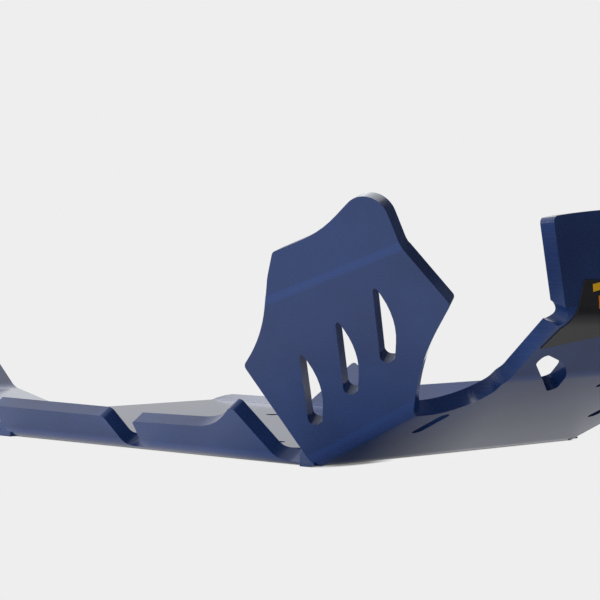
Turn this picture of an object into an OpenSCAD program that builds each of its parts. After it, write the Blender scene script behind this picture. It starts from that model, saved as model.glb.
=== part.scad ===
// Motorcycle skid plate: one thick plastic sheet, routed flat and then folded hot,
// with a thin printed film over the fold below its nose flap.
// x runs along the machine with the nose at +x, y runs across it, z is up.
// The origin lies on the underside, in the middle of the flat base.

/* [Sheet] */
// Thickness of the sheet
sheet_t = 8; // [6:0.5:10]
// Outer radius of the folds along both sides
side_fold_r = 14; // [12:1:18]
// Outer radius of the two broad folds across the nose, and of the tail's folds
nose_fold_r = 24; // [16:1:26]
// Outer radius of the tight fold below the flap
flap_fold_r = 12; // [10:1:18]

/* [Base] */
// Width over the two side fold lines
base_w = 212; // [200:2:230]
// Length from the rear edge to the front fold line
base_l = 300; // [290:5:340]
// Radius of the two rear corners
base_corner_r = 10; // [4:1:12]
// Diameter of the frame bolt holes
bolt_d = 9; // [6:0.5:12]
// Distance of the rear bolt holes behind the front fold line
bolt_rear_x = 178; // [150:2:220]
// Spacing of the rear bolt holes across the base
bolt_rear_w = 84; // [60:2:120]
// Distance of the front bolt holes behind the front fold line
bolt_front_x = 48; // [30:2:70]
// Spacing of the front bolt holes across the base
bolt_front_w = 166; // [120:2:170]

/* [Nose] */
// Length of the first nose panel between its fold lines
panel_1_l = 105; // [100:1:120]
// Length of the second nose panel between its fold lines
panel_2_l = 44; // [42:1:60]
// Height of the nose flap above its fold line, at its sides
flap_h = 46.5; // [30:0.5:60]
// Rise of the flap's top edge from its sides to its middle, before it is rounded
flap_crown = 9; // [4:0.5:11]
// Slope of the first panel against the base
panel_1_a = 25.5; // [20:0.5:30]
// Slope of the second panel against the base
panel_2_a = 42; // [36:1:50]
// Slope of the flap against the base
flap_a = 94; // [80:1:98]
// Half width of the nose at its waist
waist_w = 66; // [62:1:72]
// Radius of the bay that is cut in beside each wing
bay_r = 21; // [16:1:24]
// Distance of the waist ahead of the front fold line
waist_y = 85; // [83:1:90]
// Half width of the second panel at its upper end
neck_w = 73; // [72:0.5:80]
// Half width of the flap at its fold
flap_low_w = 70.5; // [68:0.5:76]
// Half width of the flap at its top
flap_top_w = 76.5; // [73:0.5:90]
// Radius of the relief cut at each end of the flap's fold
relief_r = 4.5; // [3:0.5:6]
// Radius of the flap's upper corners
flap_corner_r = 3; // [1:0.5:8]

/* [Nose openings] */
// Width of the drain slots in the first panel
drain_w = 7; // [4:0.5:10]
// Length of the drain slots
drain_l = 24; // [16:1:30]
// Distance of the drain slots from the middle of the nose
drain_x = 71; // [60:1:78]
// Distance of the drain slots' middle ahead of the front fold line
drain_y = 51; // [40:1:52]
// Largest width of the slanted vents across the second fold
vent_w = 12; // [8:0.5:13]
// Length of the slanted vents
vent_l = 52; // [44:1:56]
// Slant of the vents against the length of the machine
vent_a = 54; // [48:1:58]
// Lower end of a vent, out from the middle and ahead of the front fold line
vent_start = [21.4, 86.6]; // [18:0.2:90]

/* [Wings] */
// Fold between the first panel and a wing
wing_turn = 52; // [45:1:60]
// Angle by which the wing folds draw together towards the nose
wing_toe = 5; // [2:0.5:8]
// Length of the wing's fold line
wing_fold_l = 67; // [60:1:68]
// Length of the wing up to its straight front edge
wing_l = 123; // [115:1:130]
// Lower rear corner of the wing, along its fold line and out from it
wing_heel = [10.6, 63]; // [5:0.2:70]
// Height of the wing's front point above its fold line
wing_point_h = 38.5; // [34:0.5:44]
// Height of the crease above the fold line, at its rear end
crease_h = 90.8; // [86:0.2:94]
// Angle by which the crease falls towards the nose
crease_tilt = 7.7; // [5:0.1:10]
// Fold at the crease
crease_turn = 18; // [10:1:25]
// Outer radius at the crease
crease_r = 16; // [12:1:24]
// Height of the wing's top edge above the crease, at its rear corner
wing_top_h = 20; // [16:0.5:26]
// Height of the wing's upper point above the crease
wing_peak_h = 33.5; // [30:0.5:40]
// Length of a wing slot
slot_l = 43; // [36:1:46]
// Largest width of a wing slot
slot_w = 9; // [7:0.5:11]
// Step from one wing slot to the next, along the fold and out from it
slot_step = [28.3, 5.1]; // [2:0.1:32]
// Lower end of the first wing slot, along the fold and out from it
slot_start = [21.4, 20.8]; // [10:0.5:40]
// Lean of the wing slots against the fold line
slot_a = 60; // [54:1:66]

/* [Side flanges] */
// Fold between the base and a side flange
flange_turn = 56; // [45:1:62]
// Height of the long top edge of the right flanges
flange_h = 20.5; // [17:0.5:26]
// Height of the peak at the front of a flange
peak_h = 35; // [32:1:42]
// Height of the low stretch of the left flange
dip_h = 23; // [18:0.5:26]
// Height of the peak at the rear of the left flange
left_peak_h = 39; // [34:1:44]
// Distance of the right flanges' rear end behind the front fold line
flange_end = 243; // [232:1:255]
// Distance of the left flange's rear end behind the front fold line
left_end = 206; // [200:1:215]
// Distance of the gap in the right flange behind the front fold line
gap_x = 131.5; // [120:0.5:140]
// Width of the gap in the right flange at its foot
gap_w = 13.5; // [10:0.5:20]
// Width of the low strip behind the left flange
strip_w = 12; // [9:1:16]
// Fold of that low strip
strip_turn = 20; // [12:1:30]

/* [Tail] */
// Width of the tail tongue
tail_w = 84; // [70:2:88]
// Offset of the tongue's middle towards the right side
tail_shift = 44; // [38:1:46]
// Flat length of the tongue behind the base
tail_flat_l = 30; // [24:1:45]
// Length of the tongue's first rising panel
tail_rise_l = 50.5; // [36:0.5:60]
// Length of the tongue's last panel
tail_end_l = 36; // [28:1:50]
// Slope of the first rising panel
tail_rise_a = 12; // [8:1:16]
// Slope of the last panel
tail_end_a = 42; // [34:1:50]
// Radius at the tongue's end corners
tail_corner_r = 14; // [6:1:20]
// Radius where the tongue leaves the base
tail_root_r = 8; // [4:1:10]

/* [Printed film] */
// Thickness of the film
film_t = 0.4; // [0.3:0.05:0.8]
// Height of the film above the flap's fold line
film_top = 17.5; // [9:0.5:24]
// Half width of the film
film_w = 62; // [50:1:63]
// Distance of the film's lower edge below the flap's fold line, at its sides
film_low = 21.5; // [16:0.5:26]
// Rise of the film's lower edge towards its middle
film_arch = 14; // [4:1:16]

/* [Hidden] */
$fn = 96;
front_x = base_l / 2;
rear_x = -base_l / 2;
half_w = base_w / 2;
// a cutting pattern runs this far past the sheet that it trims, and stands this far
// out of its two skins
reach = 60;
cut_depth = 14;
// raw edge of the base's front corners, from the flanges to the wings
flange_front = 8;
wing_start = 1;
corner_end = 1.8;
// the folds are drawn in flat strips of about this many degrees
fold_step = 4;
// length over which a flange lies in line with the sheet it grows from, and how far
// that sheet stops short of the fold
lap = 4;
short = 0.8;
// the ends of the right flange and the nose run this far into each other
lip = 0.5;
// A wing's skin stands this far proud of the nose panel, and the panel's edge ends
// inside the wing's fold, so that the two skins cross instead of nearly meeting.
proud = 0.05;
seat = 0.3;
// the wing's two stretches share this much flat sheet below the crease
crease_lap = 0.5;
// height at which the flanges' cut-outs stop above their fold line
foot_h = 1;
// lean of the flange ends at the gap, and of the left flange's rear end
gap_lean = [2.3, 7];
left_lean = 20;
// distances of the flange peaks and of the corners beside them
peak_foot = 21.5;
peak_x = 37.5;
peak_back = 58;
left_dip_x = 150;
// length of the waist, its step out to the neck, and where that step ends
waist_l = 5;
waist_step = 5;
waist_end = panel_1_l - 5;

flap_y = panel_1_l + panel_2_l;
flap_top = flap_y + flap_h;

function tangent(r, turn) = r * tan(turn / 2);
side_t = tangent(side_fold_r, flange_turn);
wing_t = tangent(side_fold_r, wing_turn);
strip_t = tangent(side_fold_r, strip_turn);
crease_t = tangent(crease_r, crease_turn);
function crease_at(x) = crease_h - x * tan(crease_tilt);

// Corner list to outline: a corner is [x, y, radius], and a round one becomes an arc.
function unit(v) = v / norm(v);
function xy(c) = [c[0], c[1]];
function turned(p, a) = [p[0] * cos(a) - p[1] * sin(a), p[0] * sin(a) + p[1] * cos(a)];
function corner_arc(before, at, after, r) =
    let (u = unit(before - at), v = unit(after - at),
         half = acos(u * v) / 2,
         mid = at + unit(u + v) * r / sin(half),
         start = at + u * r / tan(half) - mid,
         side = u[0] * v[1] - u[1] * v[0] > 0 ? -1 : 1,
         sweep = 180 - 2 * half,
         n = max(4, ceil(sweep / 7), ceil(r * sweep / 260)))
    [for (i = [0:n]) mid + turned(start, side * sweep * i / n)];
function outline(c) = [for (i = [0:len(c) - 1])
    let (n = len(c))
    each c[i][2] == 0 ? [xy(c[i])]
        : corner_arc(xy(c[(i + n - 1) % n]), xy(c[i]), xy(c[(i + 1) % n]), c[i][2])];
function corner(p, r) = [p[0], p[1], r];
function flipped(c) = [for (i = [len(c) - 1:-1:0]) [-c[i][0], c[i][1], c[i][2]]];

// Side view of a folded sheet. A fold is [distance, turn, outer radius], and the
// distance runs along the sheet's outer skin, with the folds drawn sharp.
function along(a) = [cos(a), sin(a)];
function inward(a) = [-sin(a), cos(a)];
function reversed(l) = [for (i = [len(l) - 1:-1:0]) l[i]];
// the sharp point of fold n, the slope past it, and its distance
function fold_at(folds, n) = n == 0 ? [[0, 0], 0, 0]
    : let (p = fold_at(folds, n - 1), f = folds[n - 1])
      [p[0] + (f[0] - p[2]) * along(p[1]), p[1] + f[1], f[0]];
// a fold's arc, at the depth low inside the outer skin
function fold_arc(folds, i, low) =
    let (p = fold_at(folds, i), q = fold_at(folds, i + 1), turn = folds[i][1], r = folds[i][2],
         mid = q[0] - tangent(r, turn) * along(p[1]) + r * inward(p[1]),
         n = ceil(turn / fold_step))
    [for (k = [0:n]) mid - (r - low) * inward(p[1] + turn * k / n)];
// a point past the last fold
function fold_end(folds, s, low) =
    let (last = fold_at(folds, len(folds)))
    last[0] + (s - last[2]) * along(last[1]) + low * inward(last[1]);
function fold_line(folds, s0, s1, low) = concat([[s0, low]],
    [for (i = [0:len(folds) - 1]) each fold_arc(folds, i, low)],
    [fold_end(folds, s1, low)]);

// A side view drawn out along x from x0 to x1.
module drawn(x0, x1)
    translate([x0, 0, 0]) rotate([90, 0, 90]) linear_extrude(x1 - x0) children();

// A whole sheet with its folds, from distance s0 to distance s1.
module folded(folds, s0, s1, x0, x1, low = 0, t = sheet_t)
    drawn(x0, x1) polygon(concat(fold_line(folds, s0, s1, low),
                                 reversed(fold_line(folds, s0, s1, low + t))));

// Everything past a fold: the fold line runs along x at y = s, and the sheet turns up.
module past_fold(s, turn)
    translate([0, s, 0]) rotate([turn, 0, 0]) translate([0, -s, 0]) children();

// A pattern as a cutter that stands through the sheet.
module through(depth = cut_depth)
    translate([0, 0, -depth]) linear_extrude(2 * depth + sheet_t) children();

module both_sides() {
    children();
    mirror([0, 1, 0]) children();
}

// Places. In each, y runs out from the fold line and z points into the tray.
module nose_place() translate([front_x, 0, 0]) rotate([0, 0, -90]) children();
module tail_place() translate([rear_x, 0, 0]) rotate([0, 0, 90]) children();
module left_place() translate([front_x, half_w, 0]) children();
module right_place() mirror([0, 1, 0]) left_place() children();
module wing_place()
    translate([front_x, 0, 0]) rotate([0, -panel_1_a, 0])
        translate([0, -half_w, 0]) rotate([0, 0, wing_toe]) mirror([0, 1, 0]) children();

// A slot with one straight side and one bulged side, its round end at the origin.
module crescent(w, l) {
    foot = [0.3 * w, -3];
    bulge = [0.95 * w, 0.5 * l];
    tip = [0, 0.96 * l];
    turn = atan2(tip[1] - bulge[1], tip[0] - bulge[0]) - atan2(bulge[1] + 3, bulge[0] - foot[0]);
    polygon(outline([
        [-0.48 * w, foot[1], 0.36 * w],
        corner(foot, 0.34 * w),
        corner(bulge, 0.62 * norm(tip - bulge) / tan(turn / 2)),
        corner(tip, 1.2),
    ]));
}

// The nose's folds and places: y runs ahead of the front fold line in all of them.
turn_2 = panel_2_a - panel_1_a;
turn_3 = flap_a - panel_2_a;
flap_fold = [[flap_y, turn_3, flap_fold_r]];
nose_folds = [[0, panel_1_a, nose_fold_r], [panel_1_l, turn_2, nose_fold_r], flap_fold[0]];
module on_panel_1() past_fold(0, panel_1_a) children();
module on_fold_2() on_panel_1() past_fold(panel_1_l, turn_2 / 2) children();
module on_panel_2() on_panel_1() past_fold(panel_1_l, turn_2) children();
module on_flap_fold() on_panel_2() past_fold(flap_y, turn_3 / 2) children();
module on_flap() on_panel_2() past_fold(flap_y, turn_3) children();

// Waste beside the first panel. Its inner side follows a wing's fold, then the bay and
// the waist, and ends a little past the second fold.
function seat_x(y) = half_w - (wing_t - seat) / cos(wing_toe) - y * tan(wing_toe);
function neck_x(y) = waist_w + waist_step
    + (neck_w - waist_w - waist_step) * (y - waist_end) / (flap_y - waist_end);
over = 2;
clear_w = half_w + lap;
module panel_1_waste()
    polygon(outline([
        [clear_w, corner_end, 0],
        [seat_x(corner_end), corner_end, 0],
        [seat_x(waist_y - bay_r), waist_y - bay_r, 0],
        [waist_w, waist_y - bay_r, bay_r],
        [waist_w, waist_y + waist_l, 12],
        [waist_w + waist_step, waist_end, 10],
        [neck_x(panel_1_l + over), panel_1_l + over, 0],
        [clear_w, panel_1_l + over, 0],
    ]));
module panel_2_waste()
    polygon([
        [clear_w, panel_1_l - over],
        [neck_x(panel_1_l - over), panel_1_l - over],
        [neck_x(flap_y - over), flap_y - over],
        [clear_w, flap_y - over],
    ]);
module relief() {
    translate([flap_low_w + 2, flap_y]) circle(relief_r);
    translate([flap_low_w + 2, flap_y - relief_r])
        square([clear_w - flap_low_w - 2, 2 * relief_r]);
}
module flap_waste() {
    side = [
        [clear_w, flap_top + flap_crown + 2 * over, 0],
        [clear_w, flap_y + 1, 0],
        [flap_low_w, flap_y + 1, 0],
        [flap_top_w, flap_top, flap_corner_r],
    ];
    polygon(outline(concat(side, [[0, flap_top + flap_crown, 600]], flipped(side))));
}
module drain()
    translate([drain_x, drain_y]) {
        square([drain_w, drain_l - drain_w], center = true);
        for (e = [-1, 1]) translate([0, e * (drain_l - drain_w) / 2]) circle(d = drain_w);
    }
module vent()
    translate(vent_start) rotate(90 - vent_a) polygon(outline([
        [-1, 0, 1.5],
        [-0.07 * vent_l, 0.4 * vent_w, 0.25 * vent_w],
        [0.48 * vent_l, 1.21 * vent_w, 0.87 * vent_l],
        [1.03 * vent_l, 0.52 * vent_w, 0.3 * vent_w],
        [0.97 * vent_l, 0, 0.25 * vent_w],
    ]));
module mirrored() for (m = [0, 1]) mirror([m, 0, 0]) children();

module nose()
    nose_place() difference() {
        folded(nose_folds, -flange_front - lip, flap_top + flap_crown + over, -half_w, half_w);
        mirrored() {
            on_panel_1() through() panel_1_waste();
            on_panel_1() through() drain();
            on_fold_2() through() vent();
            on_panel_2() through() panel_2_waste();
            on_flap_fold() through() relief();
        }
        on_flap() through() flap_waste();
    }

// Flat pattern of a wing, x along its fold line and y out from it.
function crease_xy(e, h) = [e * cos(crease_tilt) + h * sin(crease_tilt),
                            crease_h - e * sin(crease_tilt) + h * cos(crease_tilt)];
module wing_pattern() {
    e0 = wing_heel[0] + 37;
    difference() {
        polygon(outline([
            [wing_start, -reach / 2, 0],
            [wing_start, 0, 0],
            [wing_heel[0], wing_heel[1], 4],
            [wing_heel[0] + 26, wing_heel[1] + 10.2, 90],
            corner(crease_xy(e0 + 5, 10), 40),
            corner(crease_xy(e0 + 13.5, wing_top_h), 3),
            corner(crease_xy(e0 + 42, wing_top_h), 60),
            corner(crease_xy(wing_l + 2.6, wing_peak_h), 12),
            corner(crease_xy(wing_l + 1, 0), 30),
            [wing_l, wing_point_h, 3],
            [wing_l - 32.5, wing_point_h - 16.5, 150],
            [wing_fold_l, 0, 0],
            [wing_fold_l - 8, -12, 0],
            [wing_fold_l - 8, -reach / 2, 0],
        ]));
        for (i = [0:2])
            translate(slot_start + i * slot_step) rotate(slot_a - 90) crescent(slot_w, slot_l);
    }
}
// the wing's pattern seen from the crease, and the part of it or around it from y0 to y1
module seen_from_crease()
    rotate(crease_tilt) translate([0, -crease_h]) wing_pattern();
module crease_waste(y0, y1)
    difference() {
        translate([-reach, y0]) square([5 * reach, y1 - y0]);
        seen_from_crease();
    }

// Side view of a wing's fold, from the wing's side: it ends in a wedge that lies within
// the nose panel.
module wing_fold_side() {
    f = [[0, wing_turn, side_fold_r]];
    leaf_y = -3 * reach;
    polygon(concat([[leaf_y, 0]], fold_arc(f, 0, 0), [fold_end(f, wing_t + 2.5, sheet_t / 2)],
                   reversed(fold_arc(f, 0, sheet_t)), [[leaf_y, sheet_t]]));
}
// the wing from its fold up to the crease
module wing_leaf()
    intersection() {
        mirror([0, 1, 0]) drawn(-reach, 3 * reach) wing_fold_side();
        through(2 * cut_depth) intersection() {
            wing_pattern();
            translate([0, crease_h]) rotate(-crease_tilt)
                translate([-2 * reach, -3 * reach])
                    square([6 * reach, 3 * reach - crease_t - crease_lap]);
        }
    }
// the crease and what lies above it
module wing_top()
    translate([0, crease_h, 0]) rotate([0, 0, -crease_tilt]) difference() {
        folded([[0, crease_turn, crease_r]], -crease_t - 2 * crease_lap, reach, 0, wing_l + reach / 2);
        past_fold(0, crease_turn / 2) through() crease_waste(-reach / 2, crease_t);
        past_fold(0, crease_turn) through() crease_waste(crease_t - 0.2, 2 * reach);
    }
module wing()
    wing_place() translate([0, 0, -proud]) past_fold(0, wing_turn) {
        wing_leaf();
        wing_top();
    }

// Flange outlines, x along the machine from the front fold line, y up the flange.
front_end = [
    [-flange_front, -reach / 2, 0],
    [-flange_front, foot_h, 0],
    [-peak_foot, foot_h, 12],
    [-peak_x, peak_h, 3],
];
module right_flange_pattern()
    polygon(outline(concat(front_end, [
        [-peak_back, flange_h, 45],
        [-(gap_x - gap_w / 2) + gap_lean[0], flange_h - 1, 2],
        [-(gap_x - gap_w / 2), foot_h, 3],
        [-(gap_x + gap_w / 2), foot_h, 5],
        [-(gap_x + gap_w / 2) - gap_lean[1], flange_h + 1, 4],
        [-flange_end, flange_h + 2, 2],
        [-flange_end, -reach / 2, 0],
    ])));
module left_flange_pattern()
    polygon(outline(concat(front_end, [
        [-left_dip_x, dip_h - 1, 50],
        [-left_end + left_lean, left_peak_h, 3],
        [-left_end - 3, foot_h + 6, 6],
        [-left_end - 3, -reach / 2, 0],
    ])));

// A side flange with its fold, cut square to its face by a pattern.
module flange(turn, rear, front)
    intersection() {
        folded([[0, turn, side_fold_r]], -tangent(side_fold_r, turn) - lap, reach, -rear, -front);
        past_fold(0, turn) through(2 * cut_depth) children();
    }
module low_strip()
    polygon(outline([
        [-left_end, -reach / 2, 0],
        [-left_end, strip_w, 0],
        [-base_l, strip_w, strip_w],
        [-base_l, -reach / 2, 0],
    ]));

// The base stops a little short of every fold that another piece brings with it.
module base_plate()
    linear_extrude(sheet_t) difference() {
        base_front = front_x - tangent(nose_fold_r, panel_1_a) - short;
        polygon(outline([
            [base_front, -half_w, 0],
            [base_front, half_w, 0],
            [rear_x, half_w, base_corner_r],
            [rear_x, -half_w, base_corner_r],
        ]));
        translate([front_x - flange_end + lip, -half_w - 1])
            square([flange_end - flange_front + lip, side_t + short + 1]);
        translate([front_x - left_end, half_w - side_t - short])
            square([left_end - flange_front + 2 * lip, side_t + short + 1]);
        translate([rear_x - 1, half_w - strip_t - short])
            square([base_l - left_end + 1, strip_t + short + 1]);
        for (s = [-1, 1]) {
            translate([front_x - bolt_rear_x, s * bolt_rear_w / 2]) circle(d = bolt_d);
            translate([front_x - bolt_front_x, s * bolt_front_w / 2]) circle(d = bolt_d);
        }
    }

// The tail tongue, y behind the base and x across it.
tail_fold_y = [tail_flat_l, tail_flat_l + tail_rise_l];
tail_end_y = tail_fold_y[1] + tail_end_l;
tail_folds = [[tail_fold_y[0], tail_rise_a, nose_fold_r],
              [tail_fold_y[1], tail_end_a - tail_rise_a, nose_fold_r]];
module tail_root() {
    edge = tail_w / 2;
    polygon(outline([
        [-edge - tail_root_r, -lap, 0],
        [-edge - tail_root_r, 0, 0],
        [-edge, 0, tail_root_r * 0.99],
        [-edge, tail_root_r + lap, 0],
        [edge, tail_root_r + lap, 0],
        [edge, 0, tail_root_r * 0.99],
        [edge + tail_root_r, 0, 0],
        [edge + tail_root_r, -lap, 0],
    ]));
}
module tail_corner_waste()
    difference() {
        translate([0, 0]) square(2 * tail_corner_r);
        circle(tail_corner_r);
    }
module tail()
    tail_place() translate([-tail_shift, 0, 0]) {
        linear_extrude(sheet_t) tail_root();
        difference() {
            folded(tail_folds, -lap, tail_end_y, -tail_w / 2, tail_w / 2);
            past_fold(tail_fold_y[0], tail_rise_a)
                past_fold(tail_fold_y[1], tail_end_a - tail_rise_a)
                    mirrored()
                        translate([tail_w / 2 - tail_corner_r, tail_end_y - tail_corner_r, 0])
                            through() tail_corner_waste();
        }
    }

module skid_plate()
    color("#33415f") union() {
        base_plate();
        nose();
        both_sides() wing();
        right_place() flange(flange_turn, flange_end, flange_front) right_flange_pattern();
        left_place() flange(flange_turn, left_end + 3, flange_front) left_flange_pattern();
        left_place() flange(strip_turn, base_l, left_end) low_strip();
        tail();
    }

// The film keeps clear of the neck's edges and of the relief cuts.
module film_pattern() {
    low = flap_y - film_low;
    side = [
        [film_w + 8, low, 0.8],
        [film_w + 6.5, flap_y - 7, 4],
        [film_w, flap_y + 2.5, 4],
        [film_w - 13, flap_y + 20, 0],
    ];
    polygon(outline(concat(side, flipped(side), [[0, low + film_arch, 60]])));
}
module front_film()
    color("#17181b") nose_place() on_panel_2() intersection() {
        folded(flap_fold, flap_y - film_low - over, flap_y + film_top,
               -film_w - reach, film_w + reach, -film_t, film_t);
        through(2 * cut_depth) film_pattern();
    }

skid_plate();
front_film();
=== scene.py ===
import math

import bmesh
import bpy
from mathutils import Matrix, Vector
from mathutils.bvhtree import BVHTree
from mathutils.geometry import area_tri


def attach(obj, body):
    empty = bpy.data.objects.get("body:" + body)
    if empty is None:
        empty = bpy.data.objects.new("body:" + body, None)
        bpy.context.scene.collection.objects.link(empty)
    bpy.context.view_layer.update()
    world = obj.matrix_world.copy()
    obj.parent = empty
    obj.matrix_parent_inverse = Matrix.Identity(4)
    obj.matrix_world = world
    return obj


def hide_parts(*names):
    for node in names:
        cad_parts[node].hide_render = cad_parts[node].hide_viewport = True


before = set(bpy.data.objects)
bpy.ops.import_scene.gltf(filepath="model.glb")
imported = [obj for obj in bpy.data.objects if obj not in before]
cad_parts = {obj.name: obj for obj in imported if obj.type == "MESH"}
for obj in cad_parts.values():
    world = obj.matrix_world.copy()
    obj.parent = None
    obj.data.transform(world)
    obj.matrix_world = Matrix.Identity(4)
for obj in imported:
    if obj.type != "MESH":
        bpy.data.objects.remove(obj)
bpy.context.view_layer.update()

MM = 0.001

# The folded sheet's own thickness, and how far a ray's length through it may be off
SHEET_T = 8 * MM
SHEET_SLACK = 1.2 * MM
# A ray through the sheet starts this deep in it, and ends on a face turned at least so far away
RAY_START = 0.02 * MM
BACK_TO_BACK = -0.9
# The broken arris along every routed edge, and the shortest edge that gets one
ARRIS = 0.55 * MM
ARRIS_MIN_L = 0.1 * MM
# Corners closer than this are one, and faces narrower than a sliver go
WELD = 0.08 * MM
SLIVER = 0.001 * MM
# Faces that turn by less than this against each other are one flat face
FLAT_ANGLE = math.radians(0.5)
# Neighbouring strips of a fold turn by less than this, and no strip is larger than this
FOLD_ANGLE = math.radians(9)
STRIP_AREA = 900 * MM * MM
# Edges that turn by more than this are sharp
SHARP_ANGLE = math.radians(30)
# Rounds of softening at the borders of the painted highlight along the folds
SOFTEN = 3
# Places of the two finishes in the sheet's list of materials
SKIN, EDGE = 0, 1

# The camera, fitted to the photograph: its lens and sensor in mm and its eye in m
LENS = 119.64
SENSOR = 36
TURN = math.radians(45.2)
DIP = math.radians(1.149)
EYE = Vector((0.8299, -0.7990, 0.1012))


def linear(hex_colour):
    """An sRGB hex colour as linear RGBA."""
    out = []
    for i in (0, 2, 4):
        c = int(hex_colour[i:i + 2], 16) / 255
        out.append(c / 12.92 if c <= 0.04045 else ((c + 0.055) / 1.055) ** 2.4)
    return (*out, 1.0)


def grey(level):
    return (level, level, level, 1.0)


BLUE = linear("1b3263")
BLUE_PALE = linear("203b70")
BLUE_DEEP = linear("152a57")
# painted highlight: the lighter blue laid along the folds
BLUE_PAINTED_FOLD_HIGHLIGHT = linear("274a92")
INK_BLACK = linear("2a2a2d")
INK_YELLOW = linear("f2b91d")
INK_ORANGE = linear("ee8a14")
PAPER = linear("eeeeee")


def place_camera():
    way = Vector((-math.cos(TURN) * math.cos(DIP), math.sin(TURN) * math.cos(DIP), -math.sin(DIP)))
    camera = bpy.data.objects.new("camera", bpy.data.cameras.new("camera"))
    camera.data.sensor_width = SENSOR
    camera.data.sensor_fit = "HORIZONTAL"
    camera.data.lens = LENS
    camera.data.clip_start = 20 * MM
    camera.location = EYE
    camera.rotation_euler = way.to_track_quat("-Z", "Y").to_euler()
    bpy.context.scene.collection.objects.link(camera)
    bpy.context.scene.camera = camera


def add(tree, kind, inputs=None, **props):
    """A shader node with its properties, the constants of its sockets and its links."""
    node = tree.nodes.new(kind)
    for name, value in props.items():
        setattr(node, name, value)
    for name, value in (inputs or {}).items():
        if isinstance(value, bpy.types.NodeSocket):
            tree.links.new(value, node.inputs[name])
        else:
            node.inputs[name].default_value = value
    return node


def combine(tree, operation, amounts):
    """All the amounts added up or multiplied together."""
    total = amounts[0]
    for amount in amounts[1:]:
        total = add(tree, "ShaderNodeMath", {0: total, 1: amount}, operation=operation).outputs[0]
    return total


def material(name):
    m = bpy.data.materials.new(name)
    m.use_nodes = True
    m.node_tree.nodes.clear()
    return m, m.node_tree


def mend_mesh(node):
    """A copy of the node's mesh with its doubles joined and its flat faces whole."""
    bm = bmesh.new()
    bm.from_mesh(node.data)
    bmesh.ops.remove_doubles(bm, verts=bm.verts, dist=WELD)
    bmesh.ops.dissolve_degenerate(bm, edges=bm.edges, dist=SLIVER)
    bmesh.ops.dissolve_limit(bm, angle_limit=FLAT_ANGLE, verts=bm.verts, edges=bm.edges)
    return bm


def mark_sharp(bm):
    """Shades every face smooth and keeps the sharp edges sharp."""
    for f in bm.faces:
        f.smooth = True
    for e in bm.edges:
        e.smooth = e.calc_face_angle(0) < SHARP_ANGLE


def finish_piece(bm, name, mats, node):
    """The mesh as a piece of the part, with normals that keep its large flat faces flat."""
    mesh = bpy.data.meshes.new(name)
    for m in mats:
        mesh.materials.append(m)
    bm.to_mesh(mesh)
    bm.free()
    piece = bpy.data.objects.new(name, mesh)
    bpy.context.scene.collection.objects.link(piece)
    flat = piece.modifiers.new("normals", "WEIGHTED_NORMAL")
    flat.mode = "FACE_AREA"
    flat.weight = 100
    flat.keep_sharp = True
    shaded = piece.evaluated_get(bpy.context.evaluated_depsgraph_get())
    final = bpy.data.meshes.new_from_object(shaded)
    piece.modifiers.clear()
    piece.data = final
    final.name = name
    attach(piece, "root")
    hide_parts(node.name)


def skins(bm):
    """The faces with the sheet's other skin straight behind most of their area."""
    tree = BVHTree.FromBMesh(bm)
    backed = {}
    for loops in bm.calc_loop_triangles():
        f = loops[0].face
        a, b, c = (loop.vert.co for loop in loops)
        start = (a + b + c) / 3 - f.normal * RAY_START
        hit, normal, index, length = tree.ray_cast(start, -f.normal)
        skin = (hit is not None and abs(length - SHEET_T) < SHEET_SLACK
                and normal.dot(f.normal) < BACK_TO_BACK)
        backed[f] = backed.get(f, 0.0) + area_tri(a, b, c) * (1 if skin else -1)
    return {f for f, share in backed.items() if share > 0}


def mark_folds(bm):
    """Writes the attribute fold: 1 inside a fold, 0 on the flat panels, soft in between. It places the
    painted highlight along the folds.
    """
    layer = bm.verts.layers.float.new("fold")
    strips = set()
    for f in bm.faces:
        turns = [e.calc_face_angle(0) for e in f.edges if len(e.link_faces) == 2]
        if sum(FLAT_ANGLE < turn < FOLD_ANGLE for turn in turns) >= 2 and f.calc_area() < STRIP_AREA:
            strips.add(f)
    inside = []
    for v in bm.verts:
        around = [f for f in v.link_faces if f.material_index == SKIN]
        if around and all(f in strips for f in around):
            v[layer] = 1.0
            inside.append(v)
    for _ in range(SOFTEN):
        means = [sum(e.other_vert(v)[layer] for e in v.link_edges) / len(v.link_edges) for v in inside]
        for v, mean in zip(inside, means):
            v[layer] = 0.5 * (v[layer] + mean)


def build_sheet(node, mats):
    """The folded sheet: its skins and its routed edges apart, and a broken arris between them."""
    bm = mend_mesh(node)
    skin = skins(bm)
    for f in bm.faces:
        f.material_index = SKIN if f in skin else EDGE
    sharp = [e for e in bm.edges if len(e.link_faces) == 2
             and e.calc_face_angle(0) > SHARP_ANGLE and e.calc_length() > ARRIS_MIN_L]
    bmesh.ops.bevel(bm, geom=sharp, offset=ARRIS, offset_type="OFFSET", segments=2,
                    profile=0.6, affect="EDGES", clamp_overlap=True, material=EDGE)
    mark_sharp(bm)
    mark_folds(bm)
    finish_piece(bm, "folded_sheet", mats, node)


def build_film(node, mats):
    """The printed film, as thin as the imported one."""
    bm = mend_mesh(node)
    mark_sharp(bm)
    finish_piece(bm, "printed_decal", mats, node)


# Haze in the blue, 40 mm across
HAZE = 40 * MM
# Waxy grain, 1.25 mm from one speck to the next
GRAIN = 1.25 * MM
# Drag lines of the extruder, nine in 10 mm and each about 62 mm long
DRAG_L = 62.5 * MM
DRAG_PER_M = 0.9 / MM
# The cutter's marks, from one to the next, for a wave texture that turns 20 radians in a unit
CUTTER_STEP = 1.848 * MM
WAVE_RADIANS = 20


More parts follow.
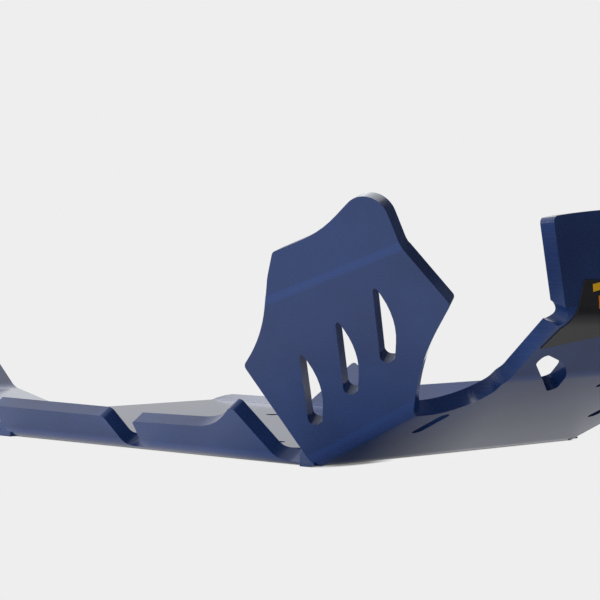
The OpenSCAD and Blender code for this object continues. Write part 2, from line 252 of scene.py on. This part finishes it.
def hdpe(name, routed):
    """Extruded HDPE sheet, folded hot. The eye sees a satin, faintly waxy blue with a soft haze
    and fine drag lines along it. Routed edges are a deeper blue and carry the cutter's marks."""
    m, t = material(name)
    place = add(t, "ShaderNodeTexCoord").outputs["Object"]

    haze = add(t, "ShaderNodeTexNoise", {"Vector": place, "Scale": 1 / HAZE, "Detail": 3.0,
                                         "Roughness": 0.5})
    blues = add(t, "ShaderNodeValToRGB", {0: haze.outputs["Fac"]})
    low, high = blues.color_ramp.elements
    low.position, low.color = 0.3, BLUE_DEEP if routed else BLUE
    high.position, high.color = 0.7, BLUE_PALE
    colour = blues.outputs[0]
    if not routed:
        # painted highlight: a lighter, more saturated blue laid along the folds, where the creases
        # catch the light
        fold = add(t, "ShaderNodeAttribute", attribute_name="fold")
        share = add(t, "ShaderNodeMath", {0: fold.outputs["Fac"], 1: 0.5}, operation="MULTIPLY")
        painted_fold_highlight = add(t, "ShaderNodeMix", {"Factor": share.outputs[0], "A": colour, "B": BLUE_PAINTED_FOLD_HIGHLIGHT},
                   data_type="RGBA")
        colour = painted_fold_highlight.outputs["Result"]

    # satin face on, and glossier at a glance, with the drag lines faintly in the sheen
    glance = add(t, "ShaderNodeLayerWeight", {"Blend": 0.5})
    satin = add(t, "ShaderNodeMapRange", {"Value": glance.outputs["Facing"], "From Min": 0.55,
                                          "From Max": 0.98, "To Min": 0.27 if routed else 0.26,
                                          "To Max": 0.10})
    along = add(t, "ShaderNodeMapping", {"Vector": place,
                                         "Scale": (1 / DRAG_L, DRAG_PER_M, DRAG_PER_M)})
    drag = add(t, "ShaderNodeTexNoise", {"Vector": along.outputs[0], "Scale": 1.0, "Detail": 3.0,
                                         "Roughness": 0.65})
    lines = add(t, "ShaderNodeMapRange", {"Value": drag.outputs["Fac"], "From Min": 0.3,
                                          "From Max": 0.7, "To Min": 0.9, "To Max": 1.1})

    if routed:
        relief = add(t, "ShaderNodeTexWave", {"Vector": place, "Distortion": 1.5, "Detail": 2.0,
                                              "Scale": math.tau / WAVE_RADIANS / CUTTER_STEP,
                                              "Detail Scale": 2.0}, bands_direction="X")
    else:
        relief = add(t, "ShaderNodeTexNoise", {"Vector": place, "Scale": 1 / GRAIN, "Detail": 2.0,
                                               "Roughness": 0.6})
    bump = add(t, "ShaderNodeBump", {"Height": relief.outputs["Fac"], "Distance": 0.05 * MM,
                                     "Strength": 0.025 if routed else 0.012})

    plastic = add(t, "ShaderNodeBsdfPrincipled", {
        "Base Color": colour,
        "Roughness": combine(t, "MULTIPLY", [satin.outputs[0], lines.outputs[0]]),
        "IOR": 1.5,
        "Specular IOR Level": 0.45 if routed else 0.5,
        "Normal": bump.outputs[0]})
    add(t, "ShaderNodeOutputMaterial", {"Surface": plastic.outputs[0]})
    return m


# Each stripe's lower and upper level, how far it runs to each side, and its ink
STRIPES = ((94.5 * MM, 98.0 * MM, 50 * MM, INK_YELLOW), (86.0 * MM, 92.0 * MM, 46 * MM, INK_ORANGE))
# How much a stripe falls towards the sides, so that it reads as a shallow chevron
STRIPE_FALL = 0.16
# Orange peel of the clear layer, 4 mm across
PEEL = 3.846 * MM


def printed_film():
    """Screen-printed vinyl under a clear gloss layer: solid black with two plain stripes, and
    the faint orange peel of film that was pressed on by hand."""
    m, t = material("gloss_printed_vinyl")
    place = add(t, "ShaderNodeTexCoord").outputs["Object"]
    parts = add(t, "ShaderNodeSeparateXYZ", {0: place})
    side = add(t, "ShaderNodeMath", {0: parts.outputs["Y"]}, operation="ABSOLUTE").outputs[0]
    fall = combine(t, "MULTIPLY", [side, STRIPE_FALL])
    level = combine(t, "ADD", [parts.outputs["Z"], fall])

    colour = INK_BLACK
    for low, high, end, ink in STRIPES:
        over = add(t, "ShaderNodeMath", {0: level, 1: low}, operation="GREATER_THAN")
        under = add(t, "ShaderNodeMath", {0: level, 1: high}, operation="LESS_THAN")
        inside = add(t, "ShaderNodeMath", {0: side, 1: end}, operation="LESS_THAN")
        printed = combine(t, "MULTIPLY", [n.outputs[0] for n in (over, under, inside)])
        mix = add(t, "ShaderNodeMix", {"Factor": printed, "A": colour, "B": ink}, data_type="RGBA")
        colour = mix.outputs["Result"]

    peel = add(t, "ShaderNodeTexNoise", {"Vector": place, "Scale": 1 / PEEL, "Detail": 1.0})
    bump = add(t, "ShaderNodeBump", {"Height": peel.outputs["Fac"], "Strength": 0.05,
                                     "Distance": 0.2 * MM})
    vinyl = add(t, "ShaderNodeBsdfPrincipled", {"Base Color": colour, "Roughness": 0.14, "IOR": 1.5,
                                                "Normal": bump.outputs[0]})
    add(t, "ShaderNodeOutputMaterial", {"Surface": vinyl.outputs[0]})
    return m


# Half the floor's length, and its height, just under the sheet
FLOOR = 6.0
FLOOR_Z = -0.05 * MM
# The picture's right, along the floor, further along which the paper's reflection is painted dimmer
RIGHT = (0.704, 0.709, 0.0)
# The spot on the floor below the foot of the near wing, the heart of a painted shade in the sheet's
# reflections
WING_FOOT = (0.165, -0.085, 0.0)
# The line where the near half of the nose leaves the floor, and how many times longer than wide the
# shade painted there is
NOSE_LINE = (0.1515, -0.078, 0.0)
SLIM = 4.0


def paper():
    """Matt white paper. To the camera it is evenly pale but for painted contact shade. In what the
    sheet mirrors it is painted dimmer near the part, below the wing's foot and out beyond the nose."""
    m, t = material("matt_paper_sweep")
    place = add(t, "ShaderNodeTexCoord").outputs["Object"]
    parts = add(t, "ShaderNodeSeparateXYZ", {0: place})

    def brightness(reach, full, dark, pale):
        """Painted shade: dark where something stands close over the paper, within reach, and pale in
        the open.
        """
        sky = add(t, "ShaderNodeAmbientOcclusion", {"Distance": reach}, samples=8)
        level = add(t, "ShaderNodeMapRange", {"Value": sky.outputs["AO"], "From Max": full,
                                              "To Min": dark, "To Max": pale})
        return level.outputs[0]

    # painted contact shadow: a slim dark patch on the paper where the nose's near half leaves the
    # floor
    slim = add(t, "ShaderNodeVectorMath", {0: place, 1: (SLIM, 1.0, 1.0)}, operation="MULTIPLY")
    line = (SLIM * NOSE_LINE[0], NOSE_LINE[1], NOSE_LINE[2])
    apart = add(t, "ShaderNodeVectorMath", {0: slim.outputs[0], 1: line}, operation="DISTANCE")
    painted_nose_shade = add(t, "ShaderNodeMapRange", {"Value": apart.outputs["Value"], "From Min": 12 * MM,
                                         "From Max": 30 * MM, "To Min": 0.25, "To Max": 1.0})
    seen = combine(t, "MULTIPLY", [brightness(1.2 * MM, 0.35, 0.08, 1.0), painted_nose_shade.outputs[0]])

    # painted reflection: the paper that the sheet mirrors is painted darker close to the part, around
    # the wing's foot and far to the right, and graded along the nose's near half
    away = add(t, "ShaderNodeVectorMath", {0: place, 1: WING_FOOT}, operation="DISTANCE")
    foot = add(t, "ShaderNodeMapRange", {"Value": away.outputs["Value"], "From Min": 10 * MM,
                                         "From Max": 95 * MM, "To Min": 0.08, "To Max": 1.0})
    right = add(t, "ShaderNodeVectorMath", {0: place, 1: RIGHT}, operation="DOT_PRODUCT")
    beyond = add(t, "ShaderNodeMapRange", {"Value": right.outputs["Value"], "From Min": 190 * MM,
                                           "From Max": 400 * MM, "To Min": 1.0, "To Max": 0.10})
    ahead = add(t, "ShaderNodeMapRange", {"Value": parts.outputs["X"], "From Min": 147 * MM,
                                          "From Max": 205 * MM, "To Min": 1.35, "To Max": 0.42})
    inner = add(t, "ShaderNodeMapRange", {"Value": parts.outputs["Y"], "From Min": -140 * MM,
                                          "From Max": -70 * MM})
    nose = add(t, "ShaderNodeMix", {"Factor": inner.outputs[0], "A": 1.0, "B": ahead.outputs[0]},
               data_type="FLOAT")
    mirrored = combine(t, "MULTIPLY", [brightness(60 * MM, 1.0, 0.36, 0.80), foot.outputs[0],
                                       beyond.outputs[0], nose.outputs["Result"]])

    matt = add(t, "ShaderNodeBsdfDiffuse", {"Color": grey(0.62)})
    lift = add(t, "ShaderNodeEmission", {"Color": grey(0.9), "Strength": 0.34})
    lit = add(t, "ShaderNodeAddShader", {0: matt.outputs[0], 1: lift.outputs[0]})
    to_gloss = add(t, "ShaderNodeEmission", {"Color": grey(1.0), "Strength": mirrored})
    to_camera = add(t, "ShaderNodeEmission", {"Color": PAPER, "Strength": seen})
    path = add(t, "ShaderNodeLightPath")
    unseen = add(t, "ShaderNodeMixShader", {0: path.outputs["Is Glossy Ray"], 1: lit.outputs[0],
                                            2: to_gloss.outputs[0]})
    shown = add(t, "ShaderNodeMixShader", {0: path.outputs["Is Camera Ray"], 1: unseen.outputs[0],
                                           2: to_camera.outputs[0]})
    add(t, "ShaderNodeOutputMaterial", {"Surface": shown.outputs[0]})
    return m


def lay_floor():
    bm = bmesh.new()
    bmesh.ops.create_grid(bm, x_segments=2, y_segments=2, size=FLOOR)
    mesh = bpy.data.meshes.new("floor")
    bm.to_mesh(mesh)
    bm.free()
    mesh.materials.append(paper())
    floor = bpy.data.objects.new("floor", mesh)
    floor.location.z = FLOOR_Z
    bpy.context.scene.collection.objects.link(floor)


# Where each pale wall of the studio stands as seen from the part, the cosines at its faint rim
# and at its bright heart, and its light: the back wall, the left one and the ceiling
WALLS = (((-0.82, 0.57, 0.0), 0.25, 0.85, 0.46),
         ((-0.72, -0.69, 0.10), 0.25, 0.90, 0.55),
         ((-0.5, -0.15, 0.85), 0.15, 0.85, 0.26))
# Light from everywhere else
DUSK = 0.07


def build_studio():
    """The world: plain paper to the camera, and soft pale walls to the part."""
    world = bpy.data.worlds.new("studio")
    bpy.context.scene.world = world
    world.use_nodes = True
    t = world.node_tree
    t.nodes.clear()
    way = add(t, "ShaderNodeTexCoord").outputs["Generated"]
    lights = []
    for heart_way, rim, heart, power in WALLS:
        toward = add(t, "ShaderNodeVectorMath", {0: way, 1: heart_way}, operation="DOT_PRODUCT")
        wall = add(t, "ShaderNodeMapRange", {"Value": toward.outputs["Value"], "From Min": rim,
                                             "From Max": heart, "To Max": power},
                   interpolation_type="SMOOTHSTEP")
        lights.append(wall.outputs[0])
    walls = add(t, "ShaderNodeBackground", {"Color": grey(1.0),
                                            "Strength": combine(t, "ADD", [*lights, DUSK])})
    plain = add(t, "ShaderNodeBackground", {"Color": PAPER, "Strength": 1.0})
    path = add(t, "ShaderNodeLightPath")
    shown = add(t, "ShaderNodeMixShader", {0: path.outputs["Is Camera Ray"], 1: walls.outputs[0],
                                           2: plain.outputs[0]})
    add(t, "ShaderNodeOutputWorld", {"Surface": shown.outputs[0]})


def softbox(name, place, target, size, power):
    light = bpy.data.lights.new(name, "AREA")
    light.shape = "RECTANGLE"
    light.size, light.size_y = size
    light.energy = power
    box = bpy.data.objects.new(name, light)
    box.location = place
    box.rotation_euler = (Vector(target) - Vector(place)).to_track_quat("-Z", "Y").to_euler()
    bpy.context.scene.collection.objects.link(box)


place_camera()
build_sheet(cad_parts["skid_plate"],
            [hdpe("satin_extruded_hdpe", False), hdpe("routed_hdpe_edge", True)])
build_film(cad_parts["front_film"], [printed_film()])
lay_floor()
build_studio()

NEAR_WING = (0.1, -0.1, 0.05)
softbox("key_light", (-1.3, -0.55, 1.35), (0.05, 0.0, 0.05), (1.4, 1.4), 5)
softbox("left_light", (-1.25, -1.45, 0.27), NEAR_WING, (1.0, 0.5), 7.5)
softbox("front_light", (0.08, -1.82, 0.44), NEAR_WING, (0.5, 0.5), 9)
softbox("back_light", (-0.75, 1.2, 1.25), (0.15, -0.1, 0.1), (1.5, 1.5), 10)
softbox("top_light", (0.1, 0.3, 1.8), (0.0, 0.0, 0.0), (1.6, 1.6), 4)

bpy.context.scene.view_settings.view_transform = "Standard"
